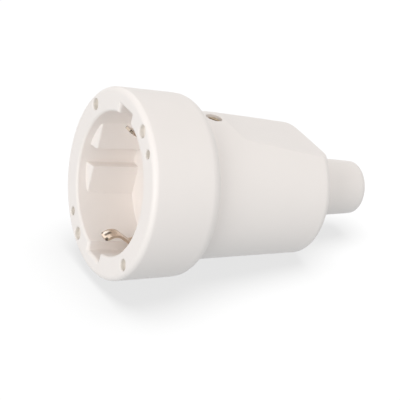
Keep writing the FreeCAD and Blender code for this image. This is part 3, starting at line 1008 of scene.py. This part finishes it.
def cut_flat(bm, point, away):
    """Cuts off what lies beyond a plane and closes the shell there."""
    geometry = list(bm.verts) + list(bm.edges) + list(bm.faces)
    found = bmesh.ops.bisect_plane(
        bm, geom=geometry, dist=MERGE, plane_co=point, plane_no=away, clear_outer=True
    )
    rim = [part for part in found["geom_cut"] if isinstance(part, bmesh.types.BMEdge)]
    bmesh.ops.edgeloop_fill(bm, edges=rim)
    bmesh.ops.recalc_face_normals(bm, faces=list(bm.faces))


def ground_tool(grip):
    """Tool that takes off what lies under the surface on which the socket rests."""
    reach = grip.spout_end
    return moved(block((-reach, -reach, -reach), (reach, reach, 0)), PLACE.inverted())


def ground_plane():
    """Point and upward direction of the rest surface, about the socket's own axis."""
    back = PLACE.inverted()
    return back @ Vector((0, 0, 0)), (back.to_3x3() @ AXIS_Z).normalized()


def grip_space(grip):
    """Tools for the bore of the spigot and the room behind it."""
    front = settings().head.body_length
    start = settings().head.spigot_end + OUTSIDE
    rear = grip.end - grip.wall
    bore = bar(front - OUTSIDE, start, grip.bore_r, ROOM_STEPS)
    first = start - OUTSIDE
    room = turned(
        [
            (first, 0, 0),
            (first, grip.bore_r, 0),
            (rear, grip.end_r - grip.wall, grip.mouth_round),
            (rear, 0, 0),
        ],
        ROOM_STEPS,
    )
    panel, upwards = panel_plane(grip)
    cut_flat(room, panel - upwards * grip.panel_wall, upwards)
    ground, upwards = ground_plane()
    cut_flat(room, ground + upwards * grip.panel_wall, -upwards)
    return bore, room


def screw_sinks(grip):
    """Tools for the sunk holes of the housing screws, with rounded edges."""
    front = settings().head.body_length
    slope = (grip.end_r - grip.root_r) / (grip.end - front)
    surface = grip.root_r + slope * (grip.sink_x - front)
    hole = flared_hole(grip.sink_r, surface - grip.seat_height, grip.sink_round, HOLE_STEPS)
    upright = Matrix.Translation((grip.sink_x, 0, surface)) @ Matrix.Rotation(math.pi / 2, 4, "Y")
    upper = moved(hole, upright)
    mouth = [vert for vert in upper.verts if vert.co.z > surface - grip.sink_round - MERGE]
    lean = Matrix.Identity(4)
    lean[2][0] = slope
    middle = Matrix.Translation((grip.sink_x, 0, 0))
    bmesh.ops.transform(upper, matrix=middle @ lean @ middle.inverted(), verts=mouth)
    return [upper, half_turned(upper)]


def soften_panel(bm):
    """Rounds the panel's side and end edges and its step."""
    grip = settings().grip
    middle = Vector((grip.panel_front + grip.panel_arc_r, 0))
    border = []
    step_top = []
    for edge in bm.edges:
        if not edge.is_manifold or edge.calc_face_angle() < math.radians(PANEL_CREASE_DEG):
            continue
        ends = [vert.co for vert in edge.verts]
        if any(end.z < grip.panel_end_height - PANEL_TOLERANCE for end in ends):
            continue
        on_panel = all(abs(end.z - panel_height(grip, end.x)) < PANEL_TOLERANCE for end in ends)
        off_arc = [abs((Vector((end.x, end.y)) - middle).length - grip.panel_arc_r) for end in ends]
        on_arc = max(off_arc) < PANEL_TOLERANCE and all(end.x < middle.x for end in ends)
        if on_panel and not on_arc:
            border.append(edge)
        elif on_arc and not on_panel:
            step_top.append(edge)
    rounded(bm, border, grip.edge_round)
    step_top = [edge for edge in step_top if edge.is_valid]
    rounded(bm, step_top, grip.edge_round / 2)


class SOCKET_OT_grip(bpy.types.Operator):
    """Models the hollow rear grip with its flat panel, rest flat, sunk holes and cord spout"""

    bl_idname = "socket.grip"
    bl_label = "Rear Grip"

    def execute(self, context):
        grip = settings().grip
        piece = shell_object("rear_grip_shell", [grip_shell(grip, settings().steps)])
        combined(piece, [panel_tool(grip)])
        combined(piece, [ground_tool(grip)])
        edit(piece, cleaned)
        edit(piece, soften_panel)
        for space in grip_space(grip):
            combined(piece, [space])
        combined(piece, screw_sinks(grip))
        combined(piece, screw_ways(grip))
        finished(piece, white_plastic(), ["rear_grip"])
        return {"FINISHED"}


def strap_sheet(metal, head):
    """Middle surface of the earth strap, bent along its path."""
    floor_rear = head.recess_depth + head.floor_thickness + metal.strap_thickness / 2
    upper = list(CLIP_PATH) + [(floor_rear, metal.arm_height, metal.strap_bend)]
    lower = [(x, -z, bend) for x, z, bend in reversed(upper)]
    path = upper + lower
    bm = bmesh.new()
    verts = [bm.verts.new((x, -metal.strap_width / 2, z)) for x, z, bend in path]
    for first, second in zip(verts, verts[1:]):
        bm.edges.new((first, second))
    for vert, before, here, after in zip(verts[1:], path, path[1:], path[2:]):
        reach = corner_reach(before, here, after, here[2])
        rounded(bm, [vert], reach, BEND_SEGMENTS, "VERTICES")
    grown = bmesh.ops.extrude_edge_only(bm, edges=list(bm.edges))
    moved_verts = [part for part in grown["geom"] if isinstance(part, bmesh.types.BMVert)]
    bmesh.ops.translate(bm, vec=(0, metal.strap_width, 0), verts=moved_verts)
    bmesh.ops.recalc_face_normals(bm, faces=list(bm.faces))
    round_tips(bm, metal)
    return bm


def round_tips(bm, metal):
    """Rounds the four corners at the clips' tips."""
    front = min(vert.co.x for vert in bm.verts)
    corners = [vert for vert in bm.verts if vert.co.x < front + MERGE]
    rounded(bm, corners, metal.tip_corner, TIP_SEGMENTS, "VERTICES")


class SOCKET_OT_earth_clips(bpy.types.Operator):
    """Models the bent spring strip whose ends are the two earth clips"""

    bl_idname = "socket.earth_clips"
    bl_label = "Earth Clips"

    def execute(self, context):
        metal = settings().metal
        head = settings().head
        piece = shell_object("earth_clip_strip", [strap_sheet(metal, head)])
        wall = piece.modifiers.new("thickness", "SOLIDIFY")
        wall.thickness = metal.strap_thickness
        wall.offset = 0
        wall.use_even_offset = True
        edges = piece.modifiers.new("edges", "BEVEL")
        edges.width = metal.strap_edge
        edges.segments = STRAP_EDGE_SEGMENTS
        edges.limit_method = "ANGLE"
        edges.angle_limit = math.radians(STRAP_EDGE_DEG)
        applied(piece)
        combined(piece, [bar(0, RIVET_REACH, RIVET_R)])
        finished(piece, plated_brass(), ["earth_strap"], STRAP_CREASE_DEG)
        return {"FINISHED"}


def screw_shell(metal):
    """Cheese head screw turned about X, with the underside of its head at x = 0."""
    return turned(
        [
            (-metal.screw_length, 0, 0),
            (-metal.screw_length, metal.screw_shank_r, metal.screw_round),
            (0, metal.screw_shank_r, 0),
            (0, metal.screw_head_r, 0),
            (metal.screw_head_height, metal.screw_head_r, metal.screw_round),
            (metal.screw_head_height, 0, 0),
        ],
        SCREW_STEPS,
    )


def slot_tool(metal):
    """Tool for the slot in a screw head, along Y."""
    half = metal.slot_width / 2
    reach = 2 * metal.screw_head_r
    low = metal.screw_head_height - metal.slot_depth
    return block((low, -reach, -half), (2 * metal.screw_head_height, reach, half))


class SOCKET_OT_housing_screws(bpy.types.Operator):
    """Models the slotted brass screws that hold the grip on the head"""

    bl_idname = "socket.housing_screws"
    bl_label = "Housing Screws"

    def execute(self, context):
        metal = settings().metal
        grip = settings().grip
        brass = aged_brass()
        for name in ("upper", "lower"):
            piece = shell_object(name + "_slotted_screw", [screw_shell(metal)])
            combined(piece, [slot_tool(metal)])
            turn = Matrix.Rotation(metal.slot_turn - math.pi / 2, 4, "Z")
            seat = Matrix.Translation((grip.sink_x, 0, grip.seat_height))
            stand = seat @ turn @ Matrix.Rotation(-math.pi / 2, 4, "Y")
            if name == "lower":
                stand = Matrix.Rotation(math.pi, 4, "X") @ stand
            edit(piece, lambda bm: moved(bm, stand))
            finished(piece, brass, [name + "_housing_screw"])
        return {"FINISHED"}


class SOCKET_OT_inner_fittings(bpy.types.Operator):
    """Gives the contacts, terminals, carrier and clamp inside the socket their finishes"""

    bl_idname = "socket.inner_fittings"
    bl_label = "Inner Fittings"

    def execute(self, context):
        finishes = {
            "brass": turned_brass(),
            "steel": zinc_steel(),
            "carrier_plastic": carrier_plastic(),
        }
        for entry in frame["record"]["subparts"]:
            node = frame["nodes"][entry["node"]]
            finish = finishes.get(entry["material_slot"])
            if finish is None or node.hide_render:
                continue
            for place in node.material_slots:
                place.material = finish
        return {"FINISHED"}


# Stage

LAMP_SIZE = 0.9
FLOOR_LAMP_SIZE = 1.1
FLOOR_WHITE = 1.08
FLOOR_LIGHT = 3.05
FLOOR_REACH = 6
FACE_LAMP = (-1.05, -0.55, 0.45)
FILL_LAMP = (0.2, -0.8, 0.9)
BACK_LAMP = (0.2, 0.9, 0.8)
FLOOR_LAMP = (0.15, 0.0, 1.2)
SENSOR_WIDTH = 36
NEAR_CLIP = 0.01


def lamp(name, place, power, floor, floor_only=False):
    """Large soft lamp that faces the object, and lights either the floor alone or all but the floor."""
    light = bpy.data.lights.new(name, "AREA")
    light.energy = power
    light.shape = "DISK"
    light.size = FLOOR_LAMP_SIZE if floor_only else LAMP_SIZE
    made = placed(name, light)
    made.location = place
    made.rotation_euler = (-Vector(place)).to_track_quat("-Z", "Y").to_euler()
    linked = bpy.data.collections.new(name + "_floor")
    linked.objects.link(floor)
    linked.collection_objects[0].light_linking.link_state = "INCLUDE" if floor_only else "EXCLUDE"
    made.light_linking.receiver_collection = linked


def seen_directly(finish):
    """1 for rays that come from the camera, from gloss or through glass."""
    kinds = ("Is Camera Ray", "Is Glossy Ray", "Is Transmission Ray")
    rays = [finish.node("ShaderNodeLightPath", output=kind) for kind in kinds]
    return (rays[0] + rays[1] + rays[2]).clipped()


def floor_finish(stage):
    """Floor that looks white with a soft shadow, and throws back plain light."""
    finish = Finish(bpy.data.materials.new("studio_floor"))
    bounce = {"Color": rgba(stage.floor), "Strength": stage.floor_bounce}
    plain = finish.node("ShaderNodeEmission", {}, bounce)
    shade = rgba(EVEN, stage.floor_shadow / FLOOR_LIGHT)
    shaded = finish.node("ShaderNodeBsdfDiffuse", {}, {"Color": shade})
    lit = FLOOR_WHITE - stage.floor_shadow
    glow = finish.node("ShaderNodeEmission", {}, {"Color": WHITE, "Strength": lit})
    white = finish.node("ShaderNodeAddShader", {}, {0: shaded, 1: glow})
    surface = finish.node("ShaderNodeMixShader", {}, {0: seen_directly(finish), 1: plain, 2: white})
    finish.node("ShaderNodeOutputMaterial", {}, {"Surface": surface})
    return finish.owner


def studio_world(stage):
    """Even light from all round, white where it is seen."""
    finish = Finish(bpy.data.worlds.new("studio_world"))
    dim = finish.node("ShaderNodeBackground", {}, {"Color": WHITE, "Strength": stage.sky})
    bright = finish.node("ShaderNodeBackground", {}, {"Color": WHITE})
    surface = finish.node("ShaderNodeMixShader", {}, {0: seen_directly(finish), 1: dim, 2: bright})
    finish.node("ShaderNodeOutputWorld", {}, {"Surface": surface})
    return finish.owner


def studio_camera(stage):
    """Camera at the photograph's angle."""
    data = bpy.data.cameras.new("studio_camera")
    data.lens = stage.lens
    data.sensor_width = SENSOR_WIDTH
    data.clip_start = NEAR_CLIP
    made = placed("studio_camera", data)
    flat = math.cos(stage.elevation)
    outwards = Vector(
        (math.sin(stage.azimuth) * flat, -math.cos(stage.azimuth) * flat, math.sin(stage.elevation))
    )
    made.location = PLACE @ Vector(stage.aim) + outwards * stage.distance
    turn = (-outwards).to_track_quat("-Z", "Y") @ Quaternion(AXIS_Z, stage.roll)
    made.rotation_euler = turn.to_euler()
    return made


class SOCKET_OT_stage(bpy.types.Operator):
    """Sets up the pale floor, the soft lamps and the camera"""

    bl_idname = "socket.stage"
    bl_label = "Stage"

    def execute(self, context):
        stage = settings().stage
        scene = context.scene
        scene.view_settings.view_transform = "Standard"
        scene.world = studio_world(stage)
        bm = bmesh.new()
        bmesh.ops.create_grid(bm, x_segments=1, y_segments=1, size=FLOOR_REACH)
        floor = shell_object("studio_floor", [bm])
        floor.data.materials.append(floor_finish(stage))
        lamp("face_lamp", FACE_LAMP, stage.face_power, floor)
        lamp("fill_lamp", FILL_LAMP, stage.fill_power, floor)
        lamp("back_lamp", BACK_LAMP, stage.back_power, floor)
        lamp("floor_lamp", FLOOR_LAMP, stage.floor_power, floor, floor_only=True)
        scene.camera = studio_camera(stage)
        return {"FINISHED"}


class SOCKET_PT_panel(bpy.types.Panel):
    """Lists what makes up the socket"""

    bl_idname = "SOCKET_PT_panel"
    bl_label = "Inline Socket"
    bl_space_type = "VIEW_3D"
    bl_region_type = "UI"
    bl_category = "Socket"

    def draw(self, context):
        layout = self.layout
        for operator in OPERATORS:
            layout.operator(operator.bl_idname)
        owner = context.scene.inline_socket
        layout.prop(owner, "steps")
        for group in (owner.head, owner.grip, owner.metal, owner.finish, owner.stage):
            box = layout.box()
            for name in group.__annotations__:
                box.prop(group, name)


OPERATORS = (
    SOCKET_OT_head,
    SOCKET_OT_grip,
    SOCKET_OT_earth_clips,
    SOCKET_OT_housing_screws,
    SOCKET_OT_inner_fittings,
    SOCKET_OT_stage,
)
GROUPS = (HeadSizes, GripSizes, MetalSizes, FinishColours, StageSettings, SocketSettings)
CLASSES = GROUPS + OPERATORS + (SOCKET_PT_panel,)


def register():
    """Makes the settings, the operators and the panel known."""
    for item in CLASSES:
        bpy.utils.register_class(item)
    bpy.types.Scene.inline_socket = PointerProperty(type=SocketSettings)


def unregister():
    """Takes them out again."""
    del bpy.types.Scene.inline_socket
    for item in reversed(CLASSES):
        bpy.utils.unregister_class(item)


def main():
    """Makes the settings known, builds every piece and sets up the stage."""
    register()
    bpy.ops.socket.head()
    bpy.ops.socket.grip()
    bpy.ops.socket.earth_clips()
    bpy.ops.socket.housing_screws()
    bpy.ops.socket.inner_fittings()
    bpy.ops.socket.stage()


if __name__ == "__main__":
    main()
